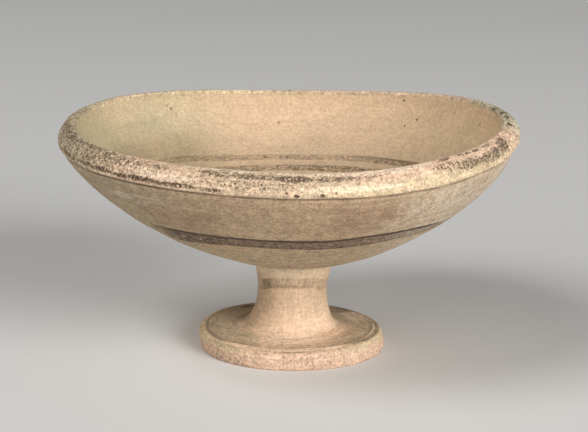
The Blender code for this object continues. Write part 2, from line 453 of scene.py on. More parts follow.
def turned_vessel():
    """The profile turned once round the vertical axis, with the way along it kept on each vertex."""
    vessel = bmesh.new()
    along_layer = vessel.verts.layers.float.new("along")
    line = []
    for point, along in zip(PROFILE, ALONG):
        vertex = vessel.verts.new((point.x, 0.0, point.y))
        vertex[along_layer] = along
        line.append(vertex)
    edges = [vessel.edges.new(pair) for pair in zip(line, line[1:])]
    bmesh.ops.spin(
        vessel,
        geom=line + edges,
        axis=(0, 0, 1),
        cent=(0, 0, 0),
        angle=math.tau,
        steps=STEPS_ROUND,
        use_merge=True,
    )
    bmesh.ops.remove_doubles(vessel, verts=vessel.verts, dist=SPUN_SEAM)
    bmesh.ops.recalc_face_normals(vessel, faces=vessel.faces)
    return vessel, along_layer


def cut_finer(vessel, edges, cuts):
    """Cuts the edges shorter, and each face left with more than four sides into triangles."""
    bmesh.ops.subdivide_edges(vessel, edges=edges, cuts=cuts, use_grid_fill=True)
    bmesh.ops.triangulate(vessel, faces=[face for face in vessel.faces if len(face.verts) > 4])


def refine_lip(vessel, along_layer):
    """Cuts the rings of the lip finer, so that its crumbs have a shape."""
    low, high = START["lip"] - 0.1, START["wall"] + 0.1
    rings = []
    for edge in vessel.edges:
        first, second = (vertex[along_layer] for vertex in edge.verts)
        if low < first < high and abs(first - second) < SAME_POINT:
            rings.append(edge)
    cut_finer(vessel, rings, LIP_CUTS)


def listed_pits():
    """Every pit and chip as (bearing, along, radius, depth)."""
    return [
        (bearing, START[stretch] + way, radius, depth)
        for stretch, pits in PITS.items()
        for bearing, way, radius, depth in pits
    ]


def refine_pits(vessel):
    """Cuts the mesh finer round each pit and chip, until its edges are short enough to show a sharp rim."""
    centres = [(np.array(turned_place(*place)), radius) for *place, radius, _ in listed_pits()]
    for longest in PIT_EDGES:
        vessel.verts.index_update()
        places = np.array([vertex.co[:] for vertex in vessel.verts])
        near = np.zeros(len(places), bool)
        for centre, radius in centres:
            near |= np.linalg.norm(places - centre, axis=1) < radius * PIT_REACH + longest * 1.5
        edges = []
        for edge in vessel.edges:
            if (near[edge.verts[0].index] or near[edge.verts[1].index]) and edge.calc_length() > longest:
                edges.append(edge)
        cut_finer(vessel, edges, 1)


def nicks():
    """Small worn nicks scattered round the lip, as (bearing, along, radius, depth)."""
    dice = random.Random(NICK_SEED)
    return [
        (
            dice.uniform(-180.0, 180.0),
            dice.uniform(START["lip"] + 1.0, START["wall"] - 1.0),
            dice.uniform(*NICK_RADII),
            dice.uniform(*NICK_DEPTHS),
        )
        for _ in range(NICKS)
    ]


def rise(value, low, high):
    """0 up to low and 1 from high on, smooth between; high may be the lower one."""
    share = np.clip((value - low) / (high - low), 0.0, 1.0)
    return share * share * (3.0 - 2.0 * share)


def between(value, low, high, soft):
    """1 between low and high, with soft edges."""
    return rise(value, low - soft, low + soft) * rise(value, high + soft, high - soft)


def ripple(places, size, shift=0.0):
    """Smooth noise, from about -0.5 to 0.5, with lumps of about the given size."""
    offset = Vector((shift, shift, shift))
    return np.array([noise.noise(place / size + offset) for place in places])


def crumbs(places, size, shift):
    """Flat-topped crumbs of about the given size: 1 on top of each and 0 in the gaps between them."""
    offset = Vector((shift, shift, shift))
    gaps = []
    for place in places:
        bend = noise.noise_vector(place / (size * CRUMB_BEND_SIZE)) * CRUMB_BEND
        first, second = noise.voronoi(place / size + bend + offset)[0][:2]
        gaps.append(second - first)
    return rise(np.array(gaps), *CRUMB_GAP)


class Clay:
    """The true turned surface at every vertex: its place, bearing and distance along the profile."""

    def __init__(self, vessel, along_layer):
        self.places = [vertex.co.copy() for vertex in vessel.verts]
        self.points = np.array([place[:] for place in self.places])
        self.along = np.array([vertex[along_layer] for vertex in vessel.verts])
        self.radius = np.hypot(self.points[:, 0], self.points[:, 1])
        self.bearing = np.degrees(np.arctan2(self.points[:, 0], -self.points[:, 1]))

    def rings(self, turns, width, shift):
        """Noise drawn out round the vessel, with lumps of about the given width along the profile."""
        across = self.points[:, :2] / np.maximum(self.radius, 0.01)[:, None] * turns
        spots = np.column_stack((across, self.along / width + shift))
        return np.array([noise.noise(spot) for spot in spots])

    def covered(self, patches):
        """How far each vertex of the lip is covered by soft oval patches."""
        cover = np.zeros(len(self.along))
        way = self.along - START["lip"]
        for bearing, centre, half_turn, half_width, strength, *slope in patches:
            turn = (self.bearing - bearing + 180.0) % 360.0 - 180.0
            away = np.hypot((way - centre - turn * sum(slope)) / half_width, turn / half_turn)
            cover = np.maximum(cover, strength * rise(away, 1.25, 0.60))
        return cover * between(self.along, START["lip"], START["wall"] - 0.6, 0.6)


def wheel_marks(clay):
    """Low rings left by the potter's fingers and the scraper, which drift a little on their way round."""
    inside = rise(clay.along, START["lip"], START["lip"] - 8.0)
    on_stem = rise(clay.along, START["stem"] - 4.0, START["stem"] + 4.0)
    on_stem = on_stem * rise(clay.along, START["edge"], START["plate"])
    fingers = clay.rings(0.7, 6.5, 0.0) * (0.10 + 0.10 * inside + 0.12 * on_stem)
    return fingers + clay.rings(1.5, 1.9, 40.0) * 0.05


def swelling(clay):
    """The wall stands out a little on the right, under the lip."""
    across = rise(abs(clay.bearing - 88.0), 62.0, 8.0)
    way = clay.along - START["wall"]
    return SWELLING_HEIGHT * across * rise(way, 1.0, 16.0) * rise(way, 62.0, 26.0)


def flare_fillet(clay):
    """The flare runs out softly on to the foot."""
    return FILLET_HEIGHT * rise(abs(clay.along - START["plate"]), 6.0, 0.0)


def lip_skin(clay):
    """The crumbly skin of the lip: how far it covers, with ragged edges, and the height of its grains."""
    ragged = ripple(clay.places, 2.2, 3.0) * 0.5 + ripple(clay.places, 5.5, 9.0) * 0.7
    cover = rise(clay.covered(LIP_SKIN) + ragged, 0.42, 0.62)
    coarse = crumbs(clay.places, 2.6, 0.0)
    fine = crumbs(clay.places, 1.5, 20.0)
    return cover, coarse * (0.45 + 0.55 * fine)


def dents(clay):
    """How deep each place lies in a pit, chip or nick."""
    depth = np.zeros(len(clay.places))
    for bearing, along, radius, deep in listed_pits() + nicks():
        centre = np.array(turned_place(bearing, along))
        away = np.linalg.norm(clay.points - centre, axis=1)
        near = np.flatnonzero(away < radius * PIT_REACH)
        places = [clay.places[i] for i in near]
        ragged = 1.0 + 0.30 * ripple(places, 0.9) + 0.20 * ripple(places, 0.45)
        depth[near] = np.maximum(depth[near], deep * rise(away[near] * ragged, radius, radius * 0.45))
    return depth


def clay_relief(clay, cover, height):
    """How far the clay stands out from the true turned surface."""
    lumps = sum(tall * ripple(clay.places, size) for size, tall in LUMPS)
    on_lip = between(clay.along, START["lip"], START["wall"] - 0.5, 1.0)
    bare = -LIP_WEAR * on_lip * (1.0 - cover)
    crust = on_lip * cover * (CRUMB_HEIGHT * height - LIP_WEAR)
    notch = -NOTCH_CUT * between(clay.along, START["wall"] - 0.3, START["wall"] + 0.6, 0.4)
    relief = wheel_marks(clay) + lumps + bare + crust + notch + swelling(clay) + flare_fillet(clay)
    standing = rise(clay.points[:, 2], 0.3, 2.5) * rise(clay.radius, 0.0, 3.0)
    return relief * standing


def wave_height(waves, angle):
    """Sum of the waves at an angle round the axis."""
    return sum(height * math.cos(count * angle - math.radians(crest)) for count, height, crest in waves)


def lean(height):
    """Sideways place of the centre line at a height; above the rim it runs on in the same line."""
    if height > STEM_TOP:
        return LEAN_AT_STEM_TOP * (RIM_LEVEL - height) / (RIM_LEVEL - STEM_TOP)
    levels = (0.0, FOOT_TOP_HEIGHT, STEM_TOP)
    return float(np.interp(height, levels, (LEAN_AT_BASE, LEAN_AT_FOOT_TOP, LEAN_AT_STEM_TOP)))


def fired(point):
    """Where a point of the true turned shape ended up in the fired vessel. The resting ring stays flat."""
    angle = math.atan2(point.y, point.x)
    radius = math.hypot(point.x, point.y)
    height = point.z
    if height > STEM_TOP:
        share = (radius - SAG_START_RADIUS) / (RIM_RADIUS - SAG_START_RADIUS)
        sag = min(max(share, 0.0), 1.0) ** SAG_POWER
        lift = sag * wave_height(RIM_WAVES, angle)
        oval = RIM_OVAL * sag
    else:
        share = float(np.interp(height, (0.0, FOOT_TOP_HEIGHT, WAIST_LEVEL), (0.0, 1.0, 0.0)))
        lift = share * wave_height(FOOT_WAVES, angle)
        oval = 0.0
    return Vector((point.x * (1.0 - oval) + lean(height), point.y * (1.0 + oval), height + lift))


def kept_in_box(place):
    """The place, in metres, moved in to the solid's own box where wear or a swelling put it outside."""
    low, high = CAD_BOX
    return Vector(min(max(value, low[i]), high[i]) for i, value in enumerate(place))


def shape_clay(vessel, along_layer):
    """Gives the turned vessel its relief and fired shape, and keeps what the finish needs on its vertices."""
    vessel.normal_update()
    clay = Clay(vessel, along_layer)
    pit = dents(clay)
    cover, height = lip_skin(clay)
    relief = clay_relief(clay, cover, height) - pit
    kept = {
        "right": clay.points[:, 0] / np.maximum(clay.radius, 0.5),
        "back": clay.points[:, 1] / np.maximum(clay.radius, 0.5),
        "pit": pit,
        "skin": cover,
        "crumb": height,
        "paint": clay.covered(LIP_PAINT),
        # how far the pale crust and its painted highlights cover the lip
        "pale": clay.covered(LIP_PALE_CRUST_AND_HIGHLIGHTS),
    }
    layers = {name: vessel.verts.layers.float.new(name) for name in kept}
    shaped = [vertex.co + vertex.normal * rise_out for vertex, rise_out in zip(vessel.verts, relief)]
    for i, vertex in enumerate(vessel.verts):
        vertex.co = kept_in_box(fired(shaped[i]) * MM)
        for name, values in kept.items():
            vertex[layers[name]] = values[i]


def placed(name, data):
    """A new object in the scene, from its mesh, light or camera."""
    thing = bpy.data.objects.new(name, data)
    bpy.context.scene.collection.objects.link(thing)
    return thing


def made_object(name, shape, material):
    """A shape with its finish, as an object in the scene."""
    mesh = bpy.data.meshes.new(name)
    shape.to_mesh(mesh)
    shape.free()
    mesh.materials.append(material)
    return placed(name, mesh)


def clay_vessel(finish):
    """The whole vessel as one finished piece."""
    vessel, along_layer = turned_vessel()
    refine_lip(vessel, along_layer)
    refine_pits(vessel)
    shape_clay(vessel, along_layer)
    bmesh.ops.remove_doubles(vessel, verts=vessel.verts, dist=SHORTEST_EDGE * MM)
    piece = made_object("clay_vessel", vessel, finish)
    piece.data.shade_smooth()
    return piece


class Wire:
    """A socket in a finish's node tree; Python's operators on a number's wire add Math nodes."""

    def __init__(self, finish, socket):
        self.finish = finish
        self.socket = socket

    def __add__(self, other):
        return self.finish.maths("ADD", self, other)

    def __sub__(self, other):
        return self.finish.maths("SUBTRACT", self, other)

    def __rsub__(self, other):
        return self.finish.maths("SUBTRACT", other, self)

    def __mul__(self, other):
        return self.finish.maths("MULTIPLY", self, other)

    def __truediv__(self, other):
        return self.finish.maths("DIVIDE", self, other)

    __radd__ = __add__
    __rmul__ = __mul__

    def beside(self, output):
        """Another output of the node that this wire comes from."""
        return Wire(self.finish, self.socket.node.outputs[output])


class Finish:
    """A material built from nodes."""

    def __init__(self, name):
        self.material = bpy.data.materials.new(name)
        self.material.use_nodes = True
        self.tree = self.material.node_tree
        self.tree.nodes.clear()

    def node(self, kind, settings=None, sockets=None, output=0):
        """Adds a node with its settings, and the values or wires of its sockets. Gives one output's wire."""
        node = self.tree.nodes.new(kind)
        for name, value in (settings or {}).items():
            setattr(node, name, value)
        for name, value in (sockets or {}).items():
            if isinstance(value, Wire):
                self.tree.links.new(value.socket, node.inputs[name])
            else:
                node.inputs[name].default_value = value
        return Wire(self, node.outputs[output]) if node.outputs else None

    def maths(self, operation, *values):
        """A Math node on numbers."""
        return self.node("ShaderNodeMath", {"operation": operation}, dict(enumerate(values)))

    def vectors(self, operation, first, second):
        """A Vector Math node on two vectors."""
        return self.node("ShaderNodeVectorMath", {"operation": operation}, {0: first, 1: second})

    def joined(self, x, y, z):
        """A vector from three numbers."""
        return self.node("ShaderNodeCombineXYZ", None, {"X": x, "Y": y, "Z": z})

    def rise(self, value, low, high):
        """0 up to low and 1 from high on, smooth between; high may be the lower one."""
        limits = {"Value": value, "From Min": low, "From Max": high}
        return self.node("ShaderNodeMapRange", {"interpolation_type": "SMOOTHSTEP"}, limits)

    def between(self, value, low, high, soft):
        """1 between low and high, with soft edges."""
        return self.rise(value, low - soft, low + soft) * self.rise(value, high + soft, high - soft)

    def most(self, *masks):
        """The highest of several masks."""
        highest = masks[0]
        for mask in masks[1:]:
            highest = self.maths("MAXIMUM", highest, mask)
        return highest

    def noise(self, vector, size, detail=2.0, roughness=0.5):
        """Noise from 0 to 1 with lumps of about the given size in the vector's own unit."""
        sockets = {"Vector": vector, "Scale": 1.0 / size, "Detail": detail, "Roughness": roughness}
        return self.node("ShaderNodeTexNoise", None, sockets)

    def grains(self, vector, size):
        """Grains of about the given size: the way from each grain's middle, and a number of its own."""
        away = self.node("ShaderNodeTexVoronoi", None, {"Vector": vector, "Scale": 1.0 / size}, "Distance")
        return away, self.node("ShaderNodeSeparateXYZ", None, {0: away.beside("Color")})

    def spots(self, vector, size, radius, share):
        """Round spots, one at most to a cell of the given size, in a share of the cells."""
        away, luck = self.grains(vector, size)
        return self.rise(away * size, radius, radius * 0.4) * self.rise(luck, share + 0.01, share - 0.01)

    def mix(self, factor, first, second, blend="MIX"):
        """A mix of two colours."""
        settings = {"data_type": "RGBA", "blend_type": blend}
        return self.node("ShaderNodeMix", settings, {0: factor, 6: first, 7: second}, 2)

    def shaded(self, skin, tone):
        """A colour made lighter or darker by a number."""
        return self.mix(1.0, skin, self.joined(tone, tone, tone), "MULTIPLY")

    def surfaced(self, sockets):
        """The material, once its surface has these values and wires."""
        shader = self.node("ShaderNodeBsdfPrincipled", None, sockets)
        self.node("ShaderNodeOutputMaterial", None, {"Surface": shader})
        return self.material


def colour(red, green, blue):
    """A linear colour for a colour socket."""
    return (red, green, blue, 1.0)


# Colours of the clay, the slip, the paint and the dirt, and of painted shade and light, in linear light
BOWL_CENTRE = colour(0.655, 0.468, 0.301)
BOWL_LEFT = colour(0.538, 0.455, 0.284)
BOWL_RIGHT = colour(0.668, 0.494, 0.308)
BOWL_FLOOR = colour(0.560, 0.405, 0.262)
# Painted shade and painted light for the left inside of the bowl
BOWL_SHADE = colour(0.345, 0.270, 0.160)
BOWL_PAINTED_LIGHT = colour(0.690, 0.560, 0.345)
LIP_PALE = colour(0.715, 0.518, 0.352)
LIP_PINK = colour(0.860, 0.590, 0.410)
LIP_YELLOW = colour(0.770, 0.585, 0.370)
LIP_GREEN = colour(0.660, 0.570, 0.400)
LIP_CREAM = colour(0.680, 0.560, 0.345)
# Pale crust of the lip, with painted highlights
LIP_PALE_AND_HIGHLIGHT = colour(0.950, 0.770, 0.570)
LIP_GREY = colour(0.390, 0.306, 0.186)
LIP_GAPS = colour(0.150, 0.100, 0.058)
WALL_TAN = colour(0.520, 0.370, 0.234)
WALL_BLOOM = colour(0.365, 0.236, 0.150)
WALL_COOL = colour(0.445, 0.352, 0.230)
WALL_CHALK = colour(0.660, 0.545, 0.410)
# Painted light for the top of the stem
STEM_PAINTED_LIGHT = colour(0.770, 0.612, 0.430)
STEM_CREAM = colour(0.680, 0.490, 0.325)
# Peach clay of the flare, with a painted highlight
FLARE_PEACH_AND_HIGHLIGHT = colour(0.830, 0.590, 0.400)
FOOT_PEACH = colour(0.698, 0.476, 0.338)
FOOT_YELLOW = colour(0.640, 0.500, 0.310)
# Paler clay of the foot's top, also used for painted light on it
PLATE_PALE_AND_LIGHT = colour(0.890, 0.690, 0.510)
PLATE_DARK_TONE = colour(0.425, 0.342, 0.228)
GREY_DIRT = colour(0.260, 0.205, 0.140)
PURPLE_DIRT = colour(0.230, 0.145, 0.105)
# Dirt in lines and pits, also used for painted shade in the notch and painted shadow of the stem
LINE_DIRT_AND_SHADE = colour(0.150, 0.100, 0.062)
BAND_PAINT = colour(0.082, 0.052, 0.040)
BOWL_PAINT = colour(0.150, 0.104, 0.055)
STEM_PAINT = colour(0.250, 0.194, 0.130)
LIP_PAINT_DARK = colour(0.072, 0.043, 0.024)
LIP_PAINT_WORN = colour(0.165, 0.120, 0.074)
PIT_DIRT = colour(0.085, 0.050, 0.034)
# Pale flecks of the clay, also used for the painted highlight on the foot's ridge
PALE_FLECKS_AND_HIGHLIGHT = colour(0.860, 0.690, 0.470)


class ClayFinish(Finish):
    """The finish of the whole vessel, laid on by the way along the profile and the bearing round it."""

    def __init__(self):
        super().__init__("fired_clay")
        metres = self.node("ShaderNodeTexCoord", None, None, "Object")
        self.place = self.vectors("MULTIPLY", metres, (1.0 / MM, 1.0 / MM, 1.0 / MM))
        wobble = self.noise(self.place, 0.9, 1.0).beside("Color")
        self.rough_place = self.vectors("ADD", self.place, self.vectors("MULTIPLY", wobble, (1.1, 1.1, 1.1)))
        self.along = self.kept("along")
        self.right = self.kept("right")
        self.back = self.kept("back")
        self.bearing = self.maths("ARCTAN2", self.right, 0.0 - self.back) * math.degrees(1.0)
        self.on_lip = self.between(self.along, START["lip"], START["wall"] - 0.6, 0.5)
        self.inside = self.rise(self.along, START["lip"] + 0.6, START["lip"] - 0.8)

    def kept(self, name):
        """A number that the mesh keeps on its vertices."""
        return self.node("ShaderNodeAttribute", {"attribute_name": name}, None, "Fac")

    def past(self, stretch, way=0.0):
        """How far past a point of a stretch, given as a way along it, each place lies."""
        return self.along - (START[stretch] + way)

    def streaks(self, turns, width, detail=2.0, shift=0.0):
        """Noise with about so many lumps in a radian round the vessel, each so wide along the profile."""
        vector = self.joined(self.right * turns + shift, self.back * turns, self.along / width)
        return self.noise(vector, 1.0, detail)

    def facing(self, bearing, near, far):
        """1 round a bearing, and 0 from far degrees on; near and far are half turns."""
        turn = self.maths("WRAP", self.bearing - bearing, 180.0, -180.0)
        return self.rise(self.maths("ABSOLUTE", turn), far, near)


def finish_clay():
    """Builds the vessel's finish."""
    clay = ClayFinish()
    skin = bare_skin(clay)
    for layer in (wall_wear, bowl_bands, wall_band, stem_band, lip_crust, lip_paint, dirt, mottled):
        skin = layer(clay, skin)
    sockets = {
        "Base Color": skin,
        "Roughness": roughness(clay),
        "Normal": surface_grain(clay),
        "Metallic": 0.0,
        "IOR": 1.45,
        "Specular IOR Level": 0.25,
    }
    return clay.surfaced(sockets)


def bare_skin(clay):
    """The surface under paint and dirt: cream slip in the bowl, tan on the wall, peach clay on the foot, with
    painted shade and light in the bowl and on the stem and flare.
    """
    broad = clay.rise(clay.noise(clay.place, 34, 2), 0.35, 0.65)
    left = clay.rise(clay.right, -0.18, -0.8)
    right = clay.rise(clay.right, 0.2, 0.85)
    in_bowl = clay.mix(left, BOWL_CENTRE, BOWL_LEFT)
    in_bowl = clay.mix(right, in_bowl, BOWL_RIGHT)
    in_bowl = clay.mix(clay.rise(clay.along, 118, 84), in_bowl, BOWL_FLOOR)
    # Painted shade low at the left inside the bowl, which also darkens the clay's tone there, and painted
    # light higher up at the left
    painted_shade_low_left = clay.rise(clay.along, 119, 101) * clay.facing(-122, 18, 38)
    painted_light_high_left = clay.rise(clay.along, 119, 124) * clay.facing(-130, 12, 24)
    in_bowl = clay.mix(painted_shade_low_left * 0.8, in_bowl, BOWL_SHADE)
    in_bowl = clay.mix(painted_light_high_left * 0.55, in_bowl, BOWL_PAINTED_LIGHT)
    streaky = clay.rise(clay.streaks(2.2, 7, 3, 5), 0.38, 0.66)
    down = clay.past("wall")
    cool = clay.most(left, clay.rise(down, 52, 62) * 0.75, streaky * 0.35)
    on_wall = clay.mix(cool, WALL_TAN, WALL_COOL)
    chalky = clay.rise(clay.right, 0.35, 0.8) * (0.6 + streaky * 0.4)
    on_wall = clay.mix(clay.most(chalky, clay.rise(down, 58, 72) * 0.22), on_wall, WALL_CHALK)
    # Paler peach on the front and right of the flare: partly the clay's own colour, partly a painted
    # highlight where the light falls on it
    flare = clay.rise(clay.past("stem"), 18, 33) * clay.facing(16, 32, 84)
    # Painted light on the top of the stem, lifting the shade that the bowl casts on it
    stem_top_painted_light = clay.rise(clay.past("stem"), 9, 3)
    on_foot = clay.mix(stem_top_painted_light * 0.9, STEM_CREAM, STEM_PAINTED_LIGHT)
    on_foot = clay.mix(flare, on_foot, FLARE_PEACH_AND_HIGHLIGHT)
    on_edge = clay.rise(clay.past("edge"), -1, 0.5)
    on_foot = clay.mix(on_edge, on_foot, FOOT_PEACH)
    patchy = clay.rise(clay.noise(clay.place, 7, 3, 0.6), 0.38, 0.62)
    shoulder = clay.rise(clay.past("edge") - patchy * 2.5, 4, 1) * on_edge
    on_foot = clay.mix(shoulder * (1 - clay.facing(0, 15, 45)) * 0.9, on_foot, FOOT_YELLOW)
    skin = clay.mix(broad * 0.25, in_bowl, BOWL_CENTRE)
    skin = clay.mix(clay.rise(clay.past("lip"), -0.5, 0.8), skin, LIP_PALE)
    skin = clay.mix(clay.rise(clay.past("wall"), -0.6, 0.4), skin, on_wall)
    return clay.mix(clay.rise(clay.past("stem"), -1.5, 2.5), skin, on_foot)


def wall_wear(clay, skin):
    """Wear on the outer wall: a pink-brown bloom, pale scuffs at the left and chalky strokes at the right."""
    down = clay.past("wall")
    on_wall = clay.rise(down, 0.6, 2) * clay.rise(clay.past("stem"), 0, -3)
    bloom = clay.rise(clay.noise(clay.place, 4, 4, 0.7), 0.45, 0.6)
    skin = clay.mix(bloom * on_wall * 0.42, skin, WALL_BLOOM)
    right_stain = clay.facing(19.5, 6, 14) * clay.between(down, 4, 30, 5)
    left_stain = clay.facing(-32, 8, 17) * clay.between(down, 15, 34, 6)
    upper_stain = clay.rise(down, 16, 5) * on_wall * 0.14
    stain = clay.most(right_stain * (0.64 + bloom * 0.24), left_stain * (0.46 + bloom * 0.26), upper_stain)
    skin = clay.mix(stain, skin, WALL_BLOOM)
    scuffs = clay.rise(clay.streaks(5, 2.2, 3, 11), 0.48, 0.62)
    scuffed = clay.facing(-41, 8, 17) * clay.between(down, 2, 16, 3)
    chalky = clay.rise(clay.streaks(26, 7, 3), 0.42, 0.62)
    chalked = clay.facing(48, 14, 32) * clay.between(down, 2, 30, 5)
    pale = clay.most(scuffs * scuffed * 0.55, chalky * chalked * 0.55)
    return clay.mix(pale * on_wall, skin, WALL_CHALK)


def bowl_bands(clay, skin):
    """Two thin rings of worn paint low in the bowl, and a strip inside the lip at the back."""
    drift = (clay.streaks(0.9, 60) - 0.5) * 1.6
    outward = clay.facing(-108, 24, 50) * 2.8
    grainy = clay.noise(clay.rough_place, 1.6, 3, 0.7)
    ragged = (grainy - 0.5) * 2.2
    worn = clay.streaks(16, 1.1, 3) * 0.4 + grainy * 0.6
    strength = clay.rise(clay.right, -0.9, 0.7) * 0.22 + 0.53
    first = clay.between(clay.along + drift + ragged - outward, 88.2, 92.4, 0.35)
    first = first * (1 - clay.facing(176, 14, 34) * 0.3)
    second = clay.between(clay.along + drift + ragged, 79.5, 84.2, 0.35) * 1.1
    left_on = clay.rise(worn, 0.4, 0.58)
    dark_edge = clay.between(clay.along + drift + ragged * 0.4, 91.2, 92.8, 0.4)
    dark_edge = dark_edge * clay.facing(118, 22, 50)
    rings = clay.most(clay.most(first, second) * strength * (0.16 + left_on * 0.98), dark_edge * 0.75)
    skin = clay.mix(rings, skin, BOWL_PAINT)
    strip = clay.between(clay.past("lip"), -0.5, 1.5, 0.35) * clay.facing(-167, 20, 55)
    return clay.mix(strip * (0.04 + left_on * 0.38), skin, GREY_DIRT)


def wall_band(clay, skin):
    """The broad dark band low on the outside: a strong line on its upper edge and a thin one below."""
    drift = (clay.streaks(2.4, 40, 1) - 0.5) * 1.2
    top = clay.past("wall", 38.2) + clay.facing(33, 4, 26) * 2.4 + drift
    bottom = clay.past("wall", 50) + clay.rise(clay.right, 0.1, 0.7) * 3.4
    bottom = bottom - clay.rise(clay.right, -0.3, -0.8) * 6.6 + drift
    worn = clay.streaks(22, 1, 4)
    grainy = clay.noise(clay.rough_place, 1.6, 3, 0.7)
    crisp = clay.facing(6, 26, 62)
    at_left = clay.rise(clay.right, -0.22, -0.6)
    at_right = clay.rise(clay.right, 0.3, 0.7)
    ragged = (clay.noise(clay.place, 2.8, 3, 0.6) - 0.5) * (1 - crisp) * 8
    body = clay.rise(top + ragged, -0.4, 0.5) * clay.rise(bottom - ragged, 0.6, -0.5)
    body = body * clay.rise(clay.right + (grainy - 0.5) * 0.5, -0.8, -0.66)
    blots = clay.rise(clay.noise(clay.place, 3.2, 3, 0.6), 0.42, 0.56)
    cover = 0.82 - at_right * 0.3 + at_left * blots * 0.34
    upper_line = clay.between(top + ragged * at_left * 0.25, -0.2, 2.6, 0.4) * clay.facing(4, 42, 56)
    lower_line = clay.between(bottom, -1.5, 0, 0.35) * crisp
    left_on = clay.rise(worn * 0.45 + grainy * 0.55, 0.3, 0.6)
    flecks = clay.rise(clay.noise(clay.rough_place, 2, 3, 0.8), 0.5, 0.6)
    lost = flecks * (0.46 + at_left * 0.16 + at_right * 0.3)
    inked = body * cover * (0.42 + left_on * 0.68) * (1 - lost)
    inked = clay.most(inked, upper_line * clay.rise(worn + grainy * 0.4, 0.35, 0.65) * 0.98)
    inked = clay.most(inked, lower_line * clay.rise(worn, 0.2, 0.5) * 0.88)
    skin = clay.mix(inked, skin, BAND_PAINT)
    bright = clay.spots(clay.place, 3, 0.95, 0.3) * body * at_left
    return clay.mix(bright * 0.7, skin, PALE_FLECKS_AND_HIGHLIGHT)


def stem_band(clay, skin):
    """A grey-brown band round the top of the stem: a dark block at the left, then broken dashes."""
    down = clay.past("stem", 5.5) - clay.rise(clay.back, -1, -0.45) * 3.1
    band = clay.between(down, 0, 5.9, 0.45)
    grainy = clay.noise(clay.rough_place, 1.4, 3, 0.7)
    dashes = clay.streaks(30, 5.5, 3, 3) * 0.5 + grainy * 0.5
    block = clay.facing(-47, 6, 15)
    low_edge = clay.between(down, 4, 6, 0.5) * clay.facing(-6, 20, 40)
    darker = block * 0.14 + low_edge * 0.08 + clay.rise(clay.right, 0.3, 0.6) * 0.03
    cover = clay.rise(dashes + darker, 0.4, 0.6) * (0.52 + block * 0.24 + low_edge * 0.1)
    return clay.mix(band * cover, skin, STEM_PAINT)


def lip_crust(clay, skin):
    """The crumbling crust of the lip: pale grains of uneven tone, and dirt in the gaps between them."""
    ragged = (clay.noise(clay.place, 3, 3, 0.6) - 0.5) * 5
    yellow = clay.facing(38, 18, 40) * clay.rise(clay.past("lip") + ragged, 10, 13)
    yellow = yellow * clay.rise(clay.past("wall") + ragged * 0.4, -0.4, -1.6)
    pink = clay.most(clay.facing(50, 25, 45), clay.facing(-32, 10, 22) * 0.6)
    crust = clay.mix(pink, skin, LIP_PINK)
    crust = clay.mix(yellow, crust, LIP_YELLOW)
    crust = clay.mix(clay.facing(-142, 32, 56) * 0.6, crust, LIP_CREAM)
    green = clay.most(clay.facing(98, 12, 26), clay.facing(-84, 16, 36) * 0.6)
    crust = clay.mix(green, crust, LIP_GREEN)
    at_left = clay.facing(-68, 20, 46)
    cloudy = clay.rise(clay.noise(clay.place, 2.4, 3, 0.65), 0.42, 0.6)
    grey = clay.most(clay.facing(-78, 18, 36), clay.facing(-6, 14, 24) * 0.3)
    crust = clay.mix(grey * (0.16 + cloudy * 0.6), crust, LIP_GREY)
    luck = clay.grains(clay.rough_place, 1.15)[1]
    fine_luck = clay.grains(clay.rough_place, 0.65)[1]
    uneven = 1 + clay.most(at_left, clay.facing(88, 18, 34)) * 0.9
    crust = clay.shaded(crust, 1 + ((luck - 0.5) * 0.42 + (fine_luck - 0.5) * 0.26 - 0.02) * uneven)
    edge_settings = {"feature": "DISTANCE_TO_EDGE"}
    edge_sockets = {"Vector": clay.rough_place, "Scale": 1 / 1.9}
    edge = clay.node("ShaderNodeTexVoronoi", edge_settings, edge_sockets, "Distance")
    broken = clay.rise(clay.noise(clay.place, 2.1, 3, 0.7) + at_left * 0.05, 0.49, 0.6)
    low = clay.rise(clay.kept("crumb"), 0.45, 0.05)
    gaps = clay.most(low * 0.85, clay.rise(edge, 0.2, 0.07)) * broken
    dirty = at_left * 0.42 + clay.facing(-5, 18, 30) * 0.25 + 0.36
    crust = clay.mix(gaps * clay.kept("skin") * dirty, crust, LIP_GAPS)
    flecks = clay.rise(fine_luck + at_left * 0.08, 0.8, 0.86) * clay.rise(luck, 0.35, 0.45)
    crust = clay.mix(flecks * 0.8, crust, PALE_FLECKS_AND_HIGHLIGHT)
    return clay.mix(clay.on_lip, skin, crust)


def lip_paint(clay, skin):
    """Brown-black paint on the lip: a stain worn into the crust and crumbs of whole paint on it, then pale
    crust with painted highlights.
    """
    cover = clay.kept("paint")
    away, luck = clay.grains(clay.rough_place, 0.95)
    patchy = clay.rise(clay.noise(clay.place, 1.8, 3, 0.65), 0.3, 0.7)
    stain = clay.rise(cover + patchy * 0.4, 0.4, 1.2) * 0.34
    skin = clay.mix(stain * clay.on_lip, skin, LIP_PAINT_WORN)
    chance = cover - luck * 0.6 - patchy * 0.4
    crumbs_left = clay.rise(chance, 0.06, 0.2) * clay.rise(away, 0.8, 0.5)
    strong = clay.rise(cover, 0.74, 0.96)
    paint = clay.mix(strong, LIP_PAINT_WORN, LIP_PAINT_DARK)
    paint = clay.mix(clay.rise(luck, 0, 0.3), LIP_PAINT_DARK, paint)
    skin = clay.mix(crumbs_left * clay.on_lip * 0.9, skin, paint)
    # Pale crust on the lip, with painted highlights along its top edge
    pale = clay.rise(clay.kept("pale") + patchy * 0.5 + luck * 0.5, 0.95, 1.15) * clay.rise(away, 0.75, 0.5)
    return clay.mix(pale * clay.on_lip * 0.95, skin, LIP_PALE_AND_HIGHLIGHT)


